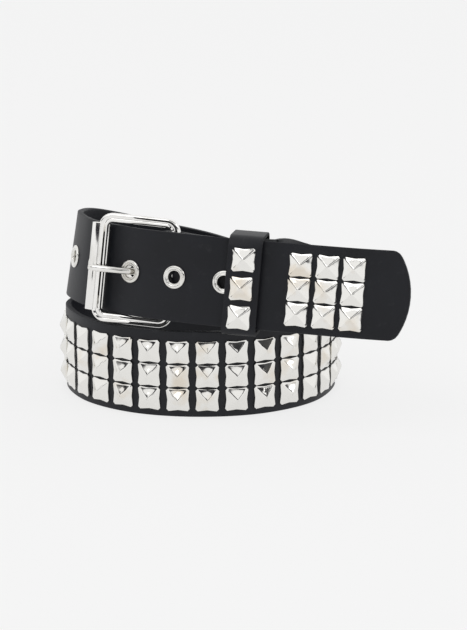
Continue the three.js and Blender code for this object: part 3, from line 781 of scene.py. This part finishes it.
bpy.ops.mesh.extrude_region_move(TRANSFORM_OT_translate={"value": (0, 0, frame_depth)})
bpy.ops.mesh.select_all(action="SELECT")
bpy.ops.mesh.normals_make_consistent(inside=False)
bpy.ops.object.mode_set(mode="OBJECT")
round_edges(ring, frame_bevel, 3, 50)
pick(ring, faces=lambda face: face.normal.z > 0.99 and face.center.z > frame_depth / 2 - near)
bpy.ops.mesh.inset(thickness=0.7 * mm, use_boundary=True, use_even_offset=True)
bpy.ops.transform.translate(value=(0, 0, -0.55 * mm))
bpy.ops.mesh.inset(thickness=0.35 * mm, use_boundary=True, use_even_offset=True)
bpy.ops.transform.translate(value=(0, 0, -0.15 * mm))
bpy.ops.object.mode_set(mode="OBJECT")
ring.data.transform(buckle_seat)
smooth(ring, 35)
buckle_nickel = plated_nickel(
    "buckle_nickel", (0.72, 0.71, 0.68), (0.86, 0.85, 0.83), 0.06, 0.13, 60.0, 0.0005,
)
ring.data.materials.append(buckle_nickel)
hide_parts("buckle_frame")
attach(ring, "root")


# Roller: a nickel-plated sheet curled round the frame's far bar. It is left open on the side towards the
# frame's opening, where the bar shows through.
roller_radius = 4.35 * mm
roller_length = 44 * mm
roller_sheet = 0.6 * mm
start_shape()
bpy.ops.mesh.primitive_cylinder_add(
    vertices=60, radius=roller_radius - roller_sheet / 2, depth=roller_length, end_fill_type="NOTHING",
    rotation=(math.radians(90), 0, 0),
)
roller = named("roller_sheet")
pick(roller, faces=lambda face: -20 < math.degrees(math.atan2(face.center.z, face.center.x)) < 86)
bpy.ops.mesh.delete(type="FACE")
bpy.ops.object.mode_set(mode="OBJECT")
finish_with(roller, "SOLIDIFY", thickness=roller_sheet, offset=0)
round_edges(roller, 0.15 * mm, 2, 50)
roller.data.transform(buckle_seat @ Matrix.Translation((-frame_reach, 0, 0)))
smooth(roller, 40)
roller.data.materials.append(buckle_nickel)
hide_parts("buckle_roller")
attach(roller, "root")


# Prong: a bent nickel-plated pin. Its eye turns on the heel bar in the strap's slot, and its shank comes out
# through the third eyelet and lies over the roller.
prong_radius = 1.7 * mm
prong_overhang = 3 * mm
prong_slant = math.radians(24)
holed = place(belt_way, eyelet_distances[2])
to_buckle = buckle_seat.inverted()
hole_middle = to_buckle @ Vector(point_of(holed, 0, 0, half_width))
hole_ahead = to_buckle @ Vector(point_of(holed, math.sin(prong_slant), math.cos(prong_slant), half_width))
hole_way = hole_ahead - hole_middle
prong_top = roller_radius + seat_gap + prong_radius
hole_depth = strap_thickness / 2 + seat_gap + flange_rise + prong_radius
shank_points = [
    Vector((-bar_clear - prong_eye_wall / 2, 0, 0)),
    Vector((hole_middle.x / 2, hole_middle.y / 2, 0)),
    hole_middle - hole_way * hole_depth,
    hole_middle,
    hole_middle + hole_way * (hole_depth - prong_radius),
    Vector((-0.8 * frame_reach, hole_middle.y, prong_top + 0.2 * mm)),
    Vector((-frame_reach, hole_middle.y, prong_top)),
    Vector((-frame_reach - prong_overhang, hole_middle.y, prong_top - 0.6 * mm)),
]
shank_rows = [np.array(point) for point in shank_points]
shank_curve = bpy.data.curves.new("prong_shank", "CURVE")
shank_curve.dimensions = "3D"
shank_curve.bevel_depth = 1.0
shank_curve.bevel_resolution = 5
shank_curve.use_fill_caps = True
line = shank_curve.splines.new("POLY")
shank_steps = 48
line.points.add(shank_steps)
for step in range(shank_steps + 1):
    share = step / shank_steps
    line.points[step].co = (*spline(shank_rows, share, False), 1)
    line.points[step].radius = prong_radius * (1 - 0.22 * max(0, share - 0.9) / 0.1)
shank = bpy.data.objects.new("prong_shank", shank_curve)
bpy.context.collection.objects.link(shank)
start_shape()
shank.select_set(True)
bpy.context.view_layer.objects.active = shank
bpy.ops.object.convert(target="MESH")
round_edges(shank, 0.4 * mm, 3, 60)
start_shape()
bpy.ops.mesh.primitive_cylinder_add(
    vertices=40, radius=bar_clear + prong_eye_wall / 2, depth=prong_eye_width, end_fill_type="NOTHING",
    rotation=(math.radians(90), 0, 0),
)
prong = named("prong")
finish_with(prong, "SOLIDIFY", thickness=prong_eye_wall, offset=0)
round_edges(prong, 0.4 * mm, 3, 50)
finish_with(prong, "BOOLEAN", operation="UNION", object=shank, solver="EXACT")
bpy.data.objects.remove(shank)
prong.data.transform(buckle_seat)
smooth(prong, 40)
prong.data.materials.clear()
prong.data.materials.append(buckle_nickel)
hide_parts("buckle_prong")
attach(prong, "root")


# Studio: a pale table inside an even bright tent. The tent's two dark seams round the front, the gap for the
# lens and a gap at the left give the metal its thin dark lines.
start_shape()
bpy.ops.mesh.primitive_plane_add(size=30)
table_top = named("table_top")
paper = bpy.data.materials.new("pale_paper")
paper.use_nodes = True
paper_shader = paper.node_tree.nodes["Principled BSDF"]
paper_shader.inputs["Base Color"].default_value = (0.16, 0.16, 0.16, 1)
paper_shader.inputs["Roughness"].default_value = 0.9
paper_shader.inputs["Specular IOR Level"].default_value = 0.0
paper_shader.inputs["Emission Color"].default_value = (1, 1, 1, 1)
paper_shader.inputs["Emission Strength"].default_value = 0.76
table_top.data.materials.append(paper)

studio = bpy.data.worlds.new("studio")
bpy.context.scene.world = studio
studio.use_nodes = True
sky = studio.node_tree


def dark_strip(axis, middle, half_angle, soft):
    """One where a direction stands near a middle angle to an axis, nothing elsewhere; angles in degrees."""
    side = sky.nodes.new("ShaderNodeTexCoord")
    along_axis = sky.nodes.new("ShaderNodeVectorMath")
    along_axis.operation = "DOT_PRODUCT"
    along_axis.inputs[1].default_value = axis
    angle = sky.nodes.new("ShaderNodeMath")
    angle.operation = "ARCCOSINE"
    off = sky.nodes.new("ShaderNodeMath")
    off.operation = "SUBTRACT"
    off.inputs[1].default_value = math.radians(middle)
    size = sky.nodes.new("ShaderNodeMath")
    size.operation = "ABSOLUTE"
    strip = sky.nodes.new("ShaderNodeMapRange")
    strip.interpolation_type = "SMOOTHSTEP"
    strip.inputs["From Min"].default_value = math.radians(half_angle + soft)
    strip.inputs["From Max"].default_value = math.radians(half_angle)
    sky.links.new(side.outputs["Generated"], along_axis.inputs[0])
    sky.links.new(along_axis.outputs["Value"], angle.inputs[0])
    sky.links.new(angle.outputs["Value"], off.inputs[0])
    sky.links.new(off.outputs["Value"], size.inputs[0])
    sky.links.new(size.outputs["Value"], strip.inputs["Value"])
    return strip.outputs["Result"]


def node_maths(operation, first, second):
    node = sky.nodes.new("ShaderNodeMath")
    node.operation = operation
    sky.links.new(first, node.inputs[0])
    sky.links.new(second, node.inputs[1])
    return node.outputs["Value"]


seam = dark_strip((0, 0, 1), 65.5, 4.8, 1.8)
front_half = dark_strip((0, -1, 0), 0, 72, 10)
left_gap = dark_strip((-math.cos(math.radians(35)), -math.sin(math.radians(35)), 0), 0, 5, 4)
lens_gap = dark_strip((0, -math.cos(math.radians(14)), math.sin(math.radians(14))), 0, 6, 5)
high_seam = dark_strip((0, 0, 1), 35.5, 7, 1.5)
seams = node_maths("MULTIPLY", node_maths("MAXIMUM", seam, high_seam), front_half)
dark = node_maths("MAXIMUM", seams, node_maths("MAXIMUM", left_gap, lens_gap))
sky_colour = ramp(sky, dark, [(0.0, (1.0, 1.0, 1.0)), (1.0, (0.03, 0.03, 0.035))])
sky.links.new(sky_colour, sky.nodes["Background"].inputs["Color"])
sky.nodes["Background"].inputs["Strength"].default_value = 1.0


def soft_box(name, spot, aim, size, power):
    light = bpy.data.lights.new(name, "AREA")
    light.shape = "RECTANGLE"
    light.size, light.size_y = size
    light.energy = power
    lamp = bpy.data.objects.new(name, light)
    bpy.context.collection.objects.link(lamp)
    lamp.location = spot
    lamp.rotation_euler = (Vector(aim) - Vector(spot)).to_track_quat("-Z", "Y").to_euler()


soft_box("key_box", (-0.9, -1.2, 1.9), (0, 0, 0.04), (1.2, 0.9), 5)
soft_box("side_box", (1.5, -0.6, 1.2), (0, 0, 0.04), (0.8, 0.8), 3)

camera_data = bpy.data.cameras.new("camera")
camera_data.lens = 130.74
camera_data.sensor_width = 36
camera_data.clip_start = 0.05
camera = bpy.data.objects.new("camera", camera_data)
bpy.context.collection.objects.link(camera)
bpy.context.scene.camera = camera
camera_distance = 1.2
camera_rise = math.radians(13.8)
camera_aim = coil_middle + np.array([18.9 * mm, 0, 37.4 * mm])
camera_side = Vector((0, -math.cos(camera_rise), math.sin(camera_rise)))
camera.location = Vector(camera_aim) + camera_side * camera_distance
camera.rotation_euler = (math.radians(90) - camera_rise, 0, 0)
bpy.context.scene.view_settings.view_transform = "Standard"
